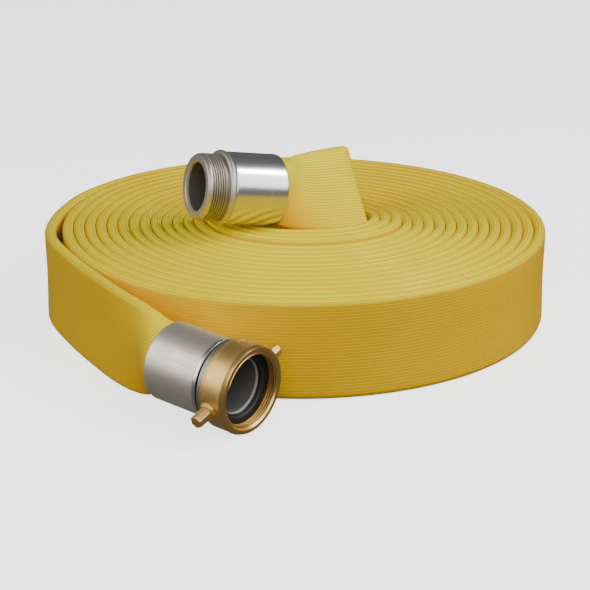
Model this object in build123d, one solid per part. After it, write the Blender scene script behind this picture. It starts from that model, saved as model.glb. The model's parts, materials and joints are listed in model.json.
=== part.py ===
from build123d import *
import os
from math import cos, radians, sin

# A lay-flat fire hose, rolled flat, with a pin-lug swivel coupling on its outer end
# and a threaded coupling on its inner end. Millimetres, +Z up. The model is laid out
# about the middle of the roll, then moved so that its box stands centred on the origin.

# Hose: 2 inch bore. Laid flat it is a strip that stands on its edge in the roll.
FLAT_WIDTH = 86.0
FLAT_THICKNESS = 9.8
HOSE_BORE_R = 26.1
LINING_R = 27.1
JACKET_R = 28.3
COVER_R = 29.4

# Roll: turn 0 is the outermost, and the turns run clockwise towards the middle. The
# outer end, where it is pulled round, presses a shallow dent into the turns beside it.
ROLL_CENTRE = (4.5, -3.2)
ROLL_HALF_X = 232.7
ROLL_HALF_Y = 237.3
PITCH_X = 10.09
PITCH_Y = 11.86
TURNS = 15.917
START_ANGLE = 150.0
POINTS_PER_TURN = 24
DENT = 9.5
DENT_ANGLE = 200.0
DENT_SPREAD = 60.0
RAISED_TURNS = 3
RAISE = 4.4

# Outer end: the strip's centre line in plan, from the roll to the swell at the coupling.
OUTER_ROUTE = [
    (-209.8, 71.6),
    (-218.5, 31.0),
    (-221.5, -10.0),
    (-217.5, -44.0),
    (-204.4, -79.5),
    (-185.4, -119.7),
    (-164.4, -158.8),
    (-143.8, -190.4),
]
OUTER_SWELL = (-122.5, -219.5, 42.8)

# Inner end: the strip climbs the back of the hole, folds over at the crease, and comes
# back as a flap. Each section is its centre, and its width direction from low to high.
RISER_SECTIONS = [
    ((-50.0, 14.0, 49.5), (0.0, 0.0, 1.0)),
    ((-37.5, 24.5, 54.0), (0.0, 0.0, 1.0)),
    ((-20.0, 30.5, 62.0), (0.0, 0.0, 1.0)),
    ((0.0, 31.5, 74.0), (-0.02, 0.06, 1.0)),
    ((20.0, 28.0, 90.0), (-0.1, 0.2, 0.97)),
    ((38.0, 20.0, 103.0), (-0.2, 0.4, 0.89)),
]
CREASE_TOP = Vector(48.5, 33.0, 143.5)
CREASE_FOOT = Vector(68.5, -10.0, 77.0)

# Couplings: distances along the axis start at the ferrule's rear face, where the hose
# comes out, and run to the mouth. Azimuth is from +X, elevation from the floor.
FEMALE_REAR = (-96.7, -247.9, 42.0)
FEMALE_AZIMUTH = -38.1
FEMALE_ELEVATION = -3.7
LUG_ROLL = 18.0
MALE_REAR = (-17.0, -26.0, 121.0)
MALE_AZIMUTH = 205.6
MALE_ELEVATION = 9.3

FERRULE_LENGTH = 50.8
FERRULE_R = 32.6
FERRULE_CHAMFER = 0.7
WATERWAY_R = 22.0
TAIL_START = 3.0
BARB_COUNT = 5
BARB_PITCH = 9.0
BARB_DEPTH = 0.9

# Swivel coupling
COLLAR_R = 33.5
COLLAR_END = 55.2
SHOULDER_R = 30.0
SHOULDER_END = 57.4
THRUST_RING_R = 34.0
THRUST_RING_END = 60.2
NECK_R = 27.92
NECK_END = 71.4
NECK_CLEARANCE = 0.08
WIRE_AT = 66.0
WIRE_R = 1.45
WIRE_GAP_ANGLE = 14.0
NUT_START = 60.5
NUT_END = 85.0
NUT_R = 36.5
NUT_FRONT_R = 35.2
NUT_TAPER_START = 80.5
NUT_SEAT = 71.7
THREAD_START = 75.9
THREAD_END = 83.4
FEMALE_THREAD_R = 29.2
GASKET_R = 31.0
GASKET_BORE_R = 23.6
LUG_AT = 69.5
LUG_TIP = 51.3
LUG_WIDTH = 10.4
LUG_PAD_WIDTH = 15.0
LUG_PAD_TIP = 38.6

# Threaded coupling
FLANGE_R = 33.8
FLANGE_END = 56.5
RELIEF_R = 28.8
MALE_THREAD_R = 30.1
MALE_THREAD_START = 58.4
MALE_THREAD_END = 75.2
MOUTH_END = 76.9
MOUTH_R = 28.6


def turned(*profile):
    """A solid of revolution about Z from (radius, height) corners."""
    return revolve(Plane.XZ * make_face(Polyline(*profile, close=True)), Axis.Z)


def tube(inner, outer, start, end, chamfer_size=0.0):
    """A round tube along Z, with its two outer edges chamfered."""
    return turned(
        (inner, start),
        (outer - chamfer_size, start),
        (outer, start + chamfer_size + 0.001),
        (outer, end - chamfer_size - 0.001),
        (outer - chamfer_size, end),
        (inner, end),
    )


def roll_point(turn, inset=0.0):
    """A point of the spiral, inset from the outer face of the given turn."""
    degrees = START_ANGLE - 360.0 * turn
    from_dent = min(abs((degrees - DENT_ANGLE + 180.0) % 360.0 - 180.0), DENT_SPREAD)
    inset += DENT * cos(radians(90.0 * from_dent / DENT_SPREAD)) ** 2
    x = (ROLL_HALF_X - PITCH_X * turn - inset) * cos(radians(degrees))
    y = (ROLL_HALF_Y - PITCH_Y * turn - inset) * sin(radians(degrees))
    return Vector(ROLL_CENTRE[0] + x, ROLL_CENTRE[1] + y)


def one_turn(first, inset=0.0):
    """The face inside one turn of the spiral, closed by a radial step."""
    steps = range(POINTS_PER_TURN + 1)
    points = [roll_point(first + step / POINTS_PER_TURN, inset) for step in steps]
    return make_face([Spline(*points), Line(points[-1], points[0])])


def roll():
    """All turns as one ring, with the innermost ones standing a little higher."""
    hole = one_turn(TURNS - 1, FLAT_THICKNESS)
    whole = extrude(one_turn(0) - hole, FLAT_WIDTH)
    raised = extrude(one_turn(TURNS - 1 - RAISED_TURNS) - hole, FLAT_WIDTH + RAISE)
    return whole + raised


def section(centre, width_dir, run_dir, width=FLAT_WIDTH, thickness=FLAT_THICKNESS):
    """The hose's outline square to its run, flat or round, with its sides rounded over."""
    run = Vector(*run_dir).normalized()
    across = Vector(*width_dir)
    plane = Plane(origin=centre, x_dir=across - run * across.dot(run), z_dir=run)
    return plane * RectangleRounded(width, thickness, 0.49 * min(width, thickness))


def smooth_line(points):
    """Straight runs with arcs as large as the two runs at each corner allow."""
    corners = [Vector(*point) for point in points]
    radii = []
    for before, here, after in zip(corners, corners[1:], corners[2:]):
        run_in = here - before
        run_out = after - here
        half_turn = radians(run_in.get_angle(run_out)) / 2
        radii.append(0.45 * min(run_in.length, run_out.length) * cos(half_turn) / sin(half_turn))
    print("route radii", [round(radius) for radius in radii])
    return FilletPolyline(*corners, radius=radii)


def ribbon(line, width, height):
    """A strip of the given plan width about a plan line, standing on the floor."""
    halves = [line.offset_2d(width / 2, side=side) for side in (Side.LEFT, Side.RIGHT)]
    return extrude(make_face(halves[0]) + make_face(halves[1]), height)


def coupling_plane(rear, azimuth, elevation, roll_angle=0.0):
    """The plane of a ferrule's rear face: Z out of the mouth, X across, level at no roll."""
    axis = Vector(1, 0, 0).rotate(Axis.Y, -elevation).rotate(Axis.Z, azimuth)
    level = Vector(sin(radians(azimuth)), -cos(radians(azimuth)), 0)
    across = level.rotate(Axis((0, 0, 0), axis), roll_angle)
    return Plane(origin=rear, x_dir=across, z_dir=axis)


def outer_tail():
    """The outermost strip where it leaves the roll and bends round to its coupling."""
    line = smooth_line([roll_point(0, FLAT_THICKNESS / 2), *OUTER_ROUTE])
    return ribbon(line.wire(), FLAT_THICKNESS, FLAT_WIDTH)


def outer_swell(coupling):
    """The strip's last stretch, which opens from flat to round."""
    before = Vector(*OUTER_ROUTE[-2])
    start = Vector(*OUTER_ROUTE[-1])
    start += Vector(0, 0, FLAT_WIDTH / 2)
    up = (0, 0, 1)
    return loft(
        [
            section(start, up, Vector(*OUTER_ROUTE[-1]) - before),
            section(OUTER_SWELL, up, coupling.origin - start, 76.0, 34.0),
            section(coupling.origin, up, coupling.z_dir, 2 * COVER_R, 2 * COVER_R),
        ]
    )


def fold():
    """The crease's centre line point, its width direction, and the flap's front side."""
    across = (CREASE_TOP - CREASE_FOOT).normalized()
    middle = (CREASE_TOP + CREASE_FOOT) / 2
    run = Vector(*MALE_REAR) - middle
    run = across.cross(run).cross(across).normalized()
    return middle + run * FLAT_THICKNESS, across, run, across.cross(run)


def inner_riser():
    """The innermost strip, which climbs the back of the hole up to the crease."""
    centre, across, run, front = fold()
    foot = roll_point(TURNS, FLAT_THICKNESS / 2) + Vector(0, 0, FLAT_WIDTH / 2 + RAISE)
    top = centre - front * FLAT_THICKNESS / 2
    stations = [(foot, (0, 0, 1)), *RISER_SECTIONS, (top, across)]
    places = [Vector(*place) for place, _ in stations]
    runs = [after - before for before, after in zip(places, places[1:])]
    runs = [Vector(0, 1, 0), *[(a + b).normalized() for a, b in zip(runs, runs[1:])], -run]
    faces = [section(place, way, run_dir) for (place, way), run_dir in zip(stations, runs)]
    return loft(faces, ruled=True)


def inner_flap(coupling):
    """The folded-over strip from the crease to the threaded coupling."""
    centre, across, run, front = fold()
    start = centre + front * FLAT_THICKNESS / 2
    to_rear = coupling.origin - start
    flap = loft(
        [
            section(start, across, run),
            section(start + to_rear * 0.42, across, run, FLAT_WIDTH, 1.3 * FLAT_THICKNESS),
            section(start + to_rear * 0.8, across, to_rear, 70.0, 44.0),
            section(coupling.origin, across, coupling.z_dir, 2 * COVER_R, 2 * COVER_R),
        ]
    )
    lip_plane = Plane(origin=centre, x_dir=-run, z_dir=across)
    lip = Cylinder(FLAT_THICKNESS, FLAT_WIDTH - FLAT_THICKNESS)
    outside = Box(
        FLAT_THICKNESS,
        2 * FLAT_THICKNESS,
        FLAT_WIDTH,
        align=(Align.MIN, Align.CENTER, Align.CENTER),
    )
    return flap, lip_plane * (lip & outside)


def shank_tail():
    """Corners of the barbed tail, from its hose end to the ferrule's front."""
    corners = [(WATERWAY_R, TAIL_START), (HOSE_BORE_R - BARB_DEPTH, TAIL_START)]
    for barb in range(BARB_COUNT):
        foot = TAIL_START + 1.0 + barb * BARB_PITCH
        corners += [
            (HOSE_BORE_R - BARB_DEPTH, foot),
            (HOSE_BORE_R, foot + 0.6 * BARB_PITCH),
            (HOSE_BORE_R, foot + 0.75 * BARB_PITCH),
            (HOSE_BORE_R - BARB_DEPTH, foot + 0.75 * BARB_PITCH),
        ]
    return corners + [(HOSE_BORE_R - BARB_DEPTH, FERRULE_LENGTH)]


def female_shank():
    """Barbed tail, collar, shoulder for the thrust ring, and the nut's neck."""
    shank = turned(
        *shank_tail(),
        (COLLAR_R - 0.5, FERRULE_LENGTH),
        (COLLAR_R, FERRULE_LENGTH + 0.5),
        (COLLAR_R, COLLAR_END - 0.5),
        (COLLAR_R - 0.5, COLLAR_END),
        (SHOULDER_R, COLLAR_END),
        (SHOULDER_R, SHOULDER_END),
        (NECK_R, SHOULDER_END),
        (NECK_R, NECK_END - 0.4),
        (NECK_R - 0.4, NECK_END),
        (WATERWAY_R, NECK_END),
    )
    groove = Pos(0, 0, WIRE_AT) * Torus(NECK_R, WIRE_R + 0.02)
    return shank - groove


def retaining_wire():
    """The split ring that keeps the nut on the neck."""
    section_face = Plane.XZ * Pos(NECK_R, WIRE_AT) * Circle(WIRE_R)
    return revolve(section_face, Axis.Z, 360 - WIRE_GAP_ANGLE)


def lug(side):
    """One blunt pin lug on its pad, out along +X or -X."""
    pin = Box(LUG_TIP, LUG_WIDTH, LUG_WIDTH, align=(Align.MIN, Align.CENTER, Align.CENTER))
    pin = chamfer(pin.edges().filter_by(Axis.X), 0.22 * LUG_WIDTH)
    pin = chamfer(pin.faces().sort_by(Axis.X)[-1].edges(), 0.9)
    pad = Box(
        LUG_PAD_TIP,
        LUG_PAD_WIDTH,
        LUG_PAD_WIDTH,
        align=(Align.MIN, Align.CENTER, Align.CENTER),
    )
    pad = chamfer(pad.edges().filter_by(Axis.X), 0.25 * LUG_PAD_WIDTH)
    return Pos(0, 0, LUG_AT) * Rot(0, 0, 0 if side > 0 else 180) * (pin + pad)


def swivel_nut():
    """The cast nut: neck bore, gasket seat, thread crests and two pin lugs."""
    bore = NECK_R + NECK_CLEARANCE
    body = turned(
        (bore, NUT_START),
        (NUT_R - 1.2, NUT_START),
        (NUT_R, NUT_START + 1.2),
        (NUT_R, NUT_TAPER_START),
        (NUT_FRONT_R, NUT_END - 0.8),
        (NUT_FRONT_R - 0.8, NUT_END),
        (GASKET_R, NUT_END),
        (FEMALE_THREAD_R, THREAD_END),
        (FEMALE_THREAD_R, THREAD_START),
        (GASKET_R, THREAD_START),
        (GASKET_R, NUT_SEAT),
        (bore, NUT_SEAT),
    )
    lugs = lug(1) + lug(-1)
    core = Pos(0, 0, LUG_AT) * Cylinder(NUT_R - 1.5, 2 * LUG_WIDTH)
    groove = Pos(0, 0, WIRE_AT) * Torus(NECK_R, WIRE_R + 0.1)
    return body + (lugs - core) - groove


def male_shank():
    """Barbed tail, flange bead, thread relief and the crests of the thread."""
    return turned(
        *shank_tail(),
        (FLANGE_R - 1.6, FERRULE_LENGTH),
        (FLANGE_R - 0.4, FERRULE_LENGTH + 0.8),
        (FLANGE_R, FERRULE_LENGTH + 2.2),
        (FLANGE_R, FLANGE_END - 2.2),
        (FLANGE_R - 0.4, FLANGE_END - 0.8),
        (FLANGE_R - 1.6, FLANGE_END),
        (RELIEF_R, FLANGE_END),
        (RELIEF_R, MALE_THREAD_START),
        (MALE_THREAD_R, MALE_THREAD_START),
        (MALE_THREAD_R, MALE_THREAD_END),
        (MOUTH_R, MOUTH_END),
        (WATERWAY_R, MOUTH_END),
    )


def hose_end():
    """The hose's three layers, gripped between a shank's tail and its ferrule."""
    return {
        "lining": tube(HOSE_BORE_R, LINING_R, 0, FERRULE_LENGTH),
        "jacket": tube(LINING_R, JACKET_R, 0, FERRULE_LENGTH),
        "cover": tube(JACKET_R, COVER_R, 0, FERRULE_LENGTH),
    }


def ferrule():
    """The aluminium sleeve that grips the hose on the tail."""
    return tube(COVER_R, FERRULE_R, 0, FERRULE_LENGTH, FERRULE_CHAMFER)


def assembly():
    """Every node of the hose, laid out about the middle of the roll."""
    female = coupling_plane(FEMALE_REAR, FEMALE_AZIMUTH, FEMALE_ELEVATION, LUG_ROLL)
    male = coupling_plane(MALE_REAR, MALE_AZIMUTH, MALE_ELEVATION)
    flap, lip = inner_flap(male)
    parts = {
        "hose_roll": roll(),
        "hose_outer_tail": outer_tail(),
        "hose_outer_swell": outer_swell(female),
        "hose_inner_riser": inner_riser(),
        "hose_inner_flap": flap,
        "hose_fold_lip": lip,
        "female_shank": female * female_shank(),
        "female_ferrule": female * ferrule(),
        "thrust_ring": female * tube(NECK_R, THRUST_RING_R, SHOULDER_END, THRUST_RING_END, 0.5),
        "retaining_wire": female * retaining_wire(),
        "swivel_nut": female * swivel_nut(),
        "nut_gasket": female * tube(GASKET_BORE_R, GASKET_R, NUT_SEAT, THREAD_START),
        "male_shank": male * male_shank(),
        "male_ferrule": male * ferrule(),
    }
    for end, plane in (("female", female), ("male", male)):
        for layer, solid in hose_end().items():
            parts[f"{end}_end_{layer}"] = plane * solid
    return parts


def main():
    """Move the model onto the origin and write one STEP for each node."""
    os.makedirs("parts", exist_ok=True)
    parts = assembly()
    boxes = [solid.bounding_box() for solid in parts.values()]
    low = Vector(*(min(tuple(box.min)[axis] for box in boxes) for axis in range(3)))
    high = Vector(*(max(tuple(box.max)[axis] for box in boxes) for axis in range(3)))
    home = Pos(-(low.X + high.X) / 2, -(low.Y + high.Y) / 2, -low.Z)
    print("moved by", home.position)
    for name, solid in parts.items():
        export_step(home * solid, f"parts/{name}.step")


main()
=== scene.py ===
import json
import logging
from dataclasses import dataclass, field
from enum import Enum
from math import cos, degrees, hypot, pi, radians, sin
from typing import Any, Optional, Union

import bmesh
import bpy
from mathutils import Matrix, Vector, noise


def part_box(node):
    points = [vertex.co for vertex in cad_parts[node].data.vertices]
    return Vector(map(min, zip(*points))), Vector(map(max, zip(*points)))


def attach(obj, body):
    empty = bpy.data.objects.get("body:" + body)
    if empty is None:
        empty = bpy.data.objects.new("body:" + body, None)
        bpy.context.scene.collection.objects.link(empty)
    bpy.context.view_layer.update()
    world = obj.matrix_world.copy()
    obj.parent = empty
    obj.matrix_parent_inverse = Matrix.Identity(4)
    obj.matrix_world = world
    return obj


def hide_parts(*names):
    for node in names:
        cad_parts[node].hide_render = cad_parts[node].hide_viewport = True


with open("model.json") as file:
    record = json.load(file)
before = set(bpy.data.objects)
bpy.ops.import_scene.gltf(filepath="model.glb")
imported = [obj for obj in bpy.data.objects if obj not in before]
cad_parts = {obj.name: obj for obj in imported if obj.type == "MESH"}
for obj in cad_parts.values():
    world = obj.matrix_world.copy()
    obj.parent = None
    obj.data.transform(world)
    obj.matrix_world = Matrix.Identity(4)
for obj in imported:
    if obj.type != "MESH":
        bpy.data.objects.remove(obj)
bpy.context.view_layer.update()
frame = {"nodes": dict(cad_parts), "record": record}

# Lengths in this file are millimetres unless a name says otherwise. Blender's are metres.
MM = 0.001
log = logging.getLogger("rolled_hose")

# From each ferrule's rear to the record's mount on its thread.
INLET_MOUNT_AT = 79.65
OUTLET_MOUNT_AT = 66.8
# How far the pin lugs are turned out of level, in degrees.
LUG_ROLL = 18.0
# Share of a turn over which a thread sinks at its ends, and how far its ridge reaches past its turns.
THREAD_RUN_OUT = 0.35
THREAD_REACH = 0.8
# Vertices closer than this are one.
MERGE_WITHIN = 0.005
# Where the camera aims, in metres from the middle of the roll.
CAMERA_AIM = Vector((0.00281, 0.0, 0.01149))

Number = Union[float, "Sock"]
Profile = list[tuple[float, float]]
Triple = tuple[float, float, float]
# Places round the hose's section, each with its share of the ribs' depth.
Places = list[tuple[float, float]]


class Body(Enum):
    """The two rigid bodies of the model."""

    HOSE = "hose"
    SWIVEL = "swivel"


class Lay(Enum):
    """Which way the fine marks run on a turned part."""

    ROUND = "round"
    LENGTHWISE = "lengthwise"


# ---------------------------------------------------------------- shader building


@dataclass
class Sock:
    """An output socket that takes part in ordinary arithmetic.

    Args:
        tree: the node tree that the socket belongs to.
        socket: the output socket itself.
    """

    tree: bpy.types.NodeTree
    socket: bpy.types.NodeSocket

    def _math(self, operation: str, first: Number, second: Number = 0.0) -> "Sock":
        """Add one Math node.

        Args:
            operation: the Math node's operation.
            first: its first value.
            second: its second value.

        Returns:
            The node's result.
        """
        node = self.tree.nodes.new("ShaderNodeMath")
        node.operation = operation
        for place, value in enumerate((first, second)):
            if isinstance(value, Sock):
                self.tree.links.new(value.socket, node.inputs[place])
            else:
                node.inputs[place].default_value = value
        return Sock(self.tree, node.outputs[0])

    def __add__(self, other: Number) -> "Sock":
        """The sum."""
        return self._math("ADD", self, other)

    __radd__ = __add__

    def __sub__(self, other: Number) -> "Sock":
        """The difference."""
        return self._math("SUBTRACT", self, other)

    def __rsub__(self, other: Number) -> "Sock":
        """The difference, the other way round."""
        return self._math("SUBTRACT", other, self)

    def __mul__(self, other: Number) -> "Sock":
        """The product."""
        return self._math("MULTIPLY", self, other)

    __rmul__ = __mul__

    def __pow__(self, other: Number) -> "Sock":
        """The power."""
        return self._math("POWER", self, other)

    def sine(self) -> "Sock":
        """The sine."""
        return self._math("SINE", self)

    def above(self, level: float) -> "Sock":
        """One where the value is above the level, and nought elsewhere."""
        return self._math("GREATER_THAN", self, level)

    def angle_from(self, other: "Sock") -> "Sock":
        """The angle of the point (other, self) about the origin."""
        return self._math("ARCTAN2", self, other)


class Shader:
    """One material's node tree, with one method that adds any node."""

    def __init__(self, name: str) -> None:
        """Start an empty material with a Principled shader.

        Args:
            name: the material's name.
        """
        self.material = bpy.data.materials.new(name)
        self.material.use_nodes = True
        self.tree = self.material.node_tree
        self.principled = self.tree.nodes["Principled BSDF"]

    def add(
        self,
        kind: str,
        values: Optional[dict[Union[str, int], Any]] = None,
        output: Union[str, int] = 0,
        **settings: Any,
    ) -> Sock:
        """Add one node.

        Args:
            kind: the node's type, without the ShaderNode prefix.
            values: numbers, colours or sockets for the node's inputs.
            output: the output to hand back.
            **settings: the node's own settings, set before its inputs. A list of
                stops, each a place and a colour, fills a colour ramp.

        Returns:
            The chosen output.
        """
        node = self.tree.nodes.new("ShaderNode" + kind)
        stops = settings.pop("stops", None)
        for name, value in settings.items():
            setattr(node, name, value)
        if stops:
            elements = node.color_ramp.elements
            while len(elements) < len(stops):
                elements.new(0.5)
            for element, (place, colour) in zip(elements, stops):
                element.position = place
                element.color = (*colour, 1.0)
        self.fill(node, values or {})
        return Sock(self.tree, node.outputs[output])

    def fill(self, node: bpy.types.Node, values: dict[Union[str, int], Any]) -> None:
        """Give a node's inputs their values or links.

        Args:
            node: the node.
            values: numbers, colours or sockets by input name or place.
        """
        for name, value in values.items():
            if isinstance(value, Sock):
                self.tree.links.new(value.socket, node.inputs[name])
            else:
                node.inputs[name].default_value = value

    def finish(self, **values: Any) -> bpy.types.Material:
        """Set the Principled shader's inputs.

        Args:
            **values: its inputs, with underscores for spaces.

        Returns:
            The finished material.
        """
        self.fill(self.principled, {name.replace("_", " "): value for name, value in values.items()})
        return self.material

    def noise(self, vector: Sock, scale: float, detail: float = 3.0, rough: float = 0.55) -> Sock:
        """Noise between 0 and 1.

        Args:
            vector: where it is read.
            scale: its features for each unit of the vector.
            detail: its octaves.
            rough: how strong the fine octaves are.

        Returns:
            The noise.
        """
        return self.add(
            "TexNoise",
            {"Vector": vector, "Scale": scale, "Detail": detail, "Roughness": rough},
            output="Fac",
        )

    def mix(self, factor: Number, low: Any, high: Any) -> Sock:
        """Mix two colours, each an RGB triple or a socket."""
        ends = [c if isinstance(c, Sock) else (*c, 1.0) for c in (low, high)]
        return self.add("Mix", {0: factor, 6: ends[0], 7: ends[1]}, output=2, data_type="RGBA")

    def spread(self, value: Sock, low: float, high: float) -> Sock:
        """Stretch the range between two levels to 0 to 1, held at the ends."""
        return self.add("MapRange", {"Value": value, 1: low, 2: high})

    def split(self, vector: Sock) -> list[Sock]:
        """The three numbers of a vector."""
        parts = self.add("SeparateXYZ", {0: vector})
        return [Sock(self.tree, output) for output in parts.socket.node.outputs]

    def bump(self, height: Sock, strength: float, distance: float) -> Sock:
        """A normal from a height."""
        return self.add("Bump", {"Height": height, "Strength": strength, "Distance": distance})


# ---------------------------------------------------------------- finishes


@dataclass(frozen=True)
class RibbedRubber:
    """Glossy moulded rubber with fine ribs along the hose, over a woven jacket.

    Args:
        name: the material's name.
        upper: colour of the rib crests on the faces that look up, lighter as painted light from above.
        side: colour of the rib crests on the walls, a darker amber as painted shade.
        deep: colour in the grooves, painted shade in the ribs' valleys; the random darker patches of the
            rubber's own tone take it too.
        soiled: colour of the dirty patches.
        ribs: ribs round the whole hose.
        roughness: the clean surface's roughness.
        weave_rate: radians of the woven jacket's wave for each metre of hose.
        painted_light_turn: the normal heights between which the painted shade of the walls turns into the
            painted light of the faces that look up.
    """

    name: str = "yellow_ribbed_rubber"
    upper: Triple = (1.0, 0.9, 0.0)
    side: Triple = (1.0, 0.64, 0.0)
    deep: Triple = (0.82, 0.36, 0.0)
    soiled: Triple = (0.4, 0.22, 0.0)
    ribs: int = 67
    roughness: float = 0.25
    weave_rate: float = 2600.0
    painted_light_turn: tuple[float, float] = (-0.05, 0.42)

    def build(self) -> bpy.types.Material:
        """Build the material.

        Returns:
            The material, patterned on the hose's own UV map.
        """
        shader = Shader(self.name)
        around, along, _ = shader.split(shader.add("UVMap", uv_map=Hose.UV))
        groove = ((around * (2 * pi * self.ribs)).sine() * 0.5 + 0.5) ** 3.0
        place = shader.add("TexCoord", output="Object")
        broad = shader.noise(place, 9.0, 3.0)
        grime = shader.noise(place, 42.0, 5.0, 0.65)
        weave = (along * self.weave_rate).sine() * (around * (2 * pi * self.ribs * 2)).sine()
        # Painted light and shade: crests on faces that look up take the lighter upper colour, and crests on
        # the walls take the darker side colour, by the normal's height.
        _, _, facing = shader.split(shader.add("TexCoord", output="Normal"))
        crest = shader.mix(shader.spread(facing, *self.painted_light_turn), self.side, self.upper)
        # Painted shade: the grooves between the ribs darken towards the deep colour.
        clean = shader.mix(groove * 0.85, crest, self.deep)
        tone = shader.mix(shader.spread(broad, 0.35, 0.75) * 0.22, clean, self.deep)
        dirt = shader.spread(grime, 0.62, 0.82) * 0.12
        colour = shader.mix(dirt, tone, self.soiled)
        rough = shader.spread(broad, 0.3, 0.8) * 0.12 + self.roughness + dirt * 0.8
        height = weave * 0.25 + grime * 0.6 - groove * 0.8
        return shader.finish(
            Base_Color=colour,
            Roughness=rough,
            Specular_IOR_Level=0.18,
            Specular_Tint=(1.0, 0.82, 0.1, 1.0),
            Normal=shader.bump(height, 0.25, 0.0004),
        )


@dataclass(frozen=True)
class BareMetal:
    """Bare turned, drawn or cast metal, patterned about the coupling's own axis.

    Args:
        name: the material's name.
        colour: the clean metal's colour.
        dull: colour of the stained patches; a much darker copy of it is painted shade in the recesses.
        roughness: the clean metal's roughness.
        lay: the way that the fine marks run.
        marks: how strong the marks are, from 0 to 1.
        grain: height of the cast grain, 0 for turned metal.
        bright_from: distance along the axis from which the surface is machined bright.
        bore_r: radius within which the metal is left rough and oxidised.
        painted_shade_hollows: radii over which the painted shade in the recesses thins out, and the
            distance along the axis where it ends.
    """

    name: str
    colour: Triple
    dull: Triple
    roughness: float
    lay: Lay = Lay.ROUND
    marks: float = 0.5
    grain: float = 0.0
    bright_from: Optional[float] = None
    bore_r: float = 0.0
    painted_shade_hollows: Optional[Triple] = None

    def build(self, place: Matrix) -> bpy.types.Material:
        """Build the material for one coupling.

        Args:
            place: the coupling's matrix, with Z along its axis.

        Returns:
            The material.
        """
        shader = Shader(self.name)
        local = shader.add(
            "Mapping",
            {
                "Vector": shader.add("TexCoord", output="Object"),
                "Location": place.translation,
                "Rotation": place.to_euler(),
            },
            vector_type="TEXTURE",
        )
        x, y, z = shader.split(local)
        # Marks run round or lengthwise: their density round the axis and along it, their scale, and
        # how much the broad stains show through.
        if self.lay is Lay.ROUND:
            round_rate, length_rate, scale, patches = 0.35, 900.0, 1.0, 0.55
        else:
            round_rate, length_rate, scale, patches = 26.0, 12.0, 1.6, 0.2
        marks_at = {0: y.angle_from(x) * round_rate, 1: z * length_rate, 2: x * 6.0}
        fine = shader.noise(shader.add("CombineXYZ", marks_at), scale, 6.0, 0.7)
        broad = shader.noise(local, 55.0, 4.0)
        cast = shader.noise(local, 900.0, 4.0, 0.6)
        stain = shader.spread(broad, 0.45, 0.75) * patches + shader.spread(fine, 0.5, 0.72) * 0.6
        colour = shader.mix(stain * self.marks, self.colour, self.dull)
        radius = (x * x + y * y) ** 0.5
        outside = radius.above(self.bore_r * MM)
        painted_shade_colour = tuple(channel * 0.3 for channel in self.dull)
        colour = shader.mix(outside, tuple(channel * 1.25 for channel in self.dull), colour)
        # Painted shade: metal nearer the axis than the given radii, short of the given distance along it,
        # darkens towards a very dark copy of the dull colour.
        if self.painted_shade_hollows is not None:
            low, high, end = (value * MM for value in self.painted_shade_hollows)
            clear = shader.spread(radius, low, high) + z.above(end)
            colour = shader.mix(clear, painted_shade_colour, colour)
        rough = (fine - 0.5) * (0.35 * self.marks) + broad * 0.14 + self.roughness
        height = fine * self.marks + cast * self.grain * 6.0
        if self.bright_from is not None:
            machined = shader.spread(z, self.bright_from * MM, (self.bright_from + 0.4) * MM)
            colour = shader.mix(machined * 0.6, colour, self.colour)
            rough = rough - machined * 0.12
            height = fine * self.marks + cast * (1.0 - machined) * self.grain * 6.0
        return shader.finish(
            Base_Color=colour,
            Metallic=outside * 0.8 + 0.2,
            Roughness=rough + (1.0 - outside) * 0.35,
            Normal=shader.bump(height, 0.35, 0.0002),
        )


@dataclass(frozen=True)
class PlainRubber:
    """Matt moulded rubber with a faint mottle.

    Args:
        name: the material's name.
        colour: its colour.
        roughness: its roughness.
    """

    name: str
    colour: Triple
    roughness: float = 0.55

    def build(self) -> bpy.types.Material:
        """Build the material on Object coordinates.

        Returns:
            The material.
        """
        shader = Shader(self.name)
        place = shader.add("TexCoord", output="Object")
        mottle = shader.noise(place, 300.0, 5.0)
        broad = shader.noise(place, 60.0, 2.0)
        dusty = tuple(min(1.0, channel * 1.5 + 0.015) for channel in self.colour)
        return shader.finish(
            Base_Color=shader.mix(broad * mottle, self.colour, dusty),
            Roughness=mottle * 0.2 + self.roughness - 0.1,
            Normal=shader.bump(mottle, 0.3, 0.0002),
        )


@dataclass(frozen=True)
class WovenYarn:
    """Plain-woven polyester yarn, over and under along both ways.

    Args:
        name: the material's name.
        colour: the yarn's colour.
        shade: the colour between the yarns.
        yarns_per_metre: how many yarns lie side by side in a metre.
    """

    name: str
    colour: Triple
    shade: Triple
    yarns_per_metre: float = 1100.0

    def build(self) -> bpy.types.Material:
        """Build the material on Object coordinates.

        Returns:
            The material.
        """
        shader = Shader(self.name)
        place = shader.split(shader.add("TexCoord", output="Object"))
        waves = [(part * (pi * self.yarns_per_metre)).sine() for part in place]
        over = waves[0] * waves[1] * 0.5 + waves[2] * 0.5 + 0.5
        return shader.finish(
            Base_Color=shader.mix(shader.spread(over, 0.1, 0.9), self.shade, self.colour),
            Roughness=0.85 - over * 0.1,
            Normal=shader.bump(over, 0.6, 0.0004),
        )


# ---------------------------------------------------------------- mesh building


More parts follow.
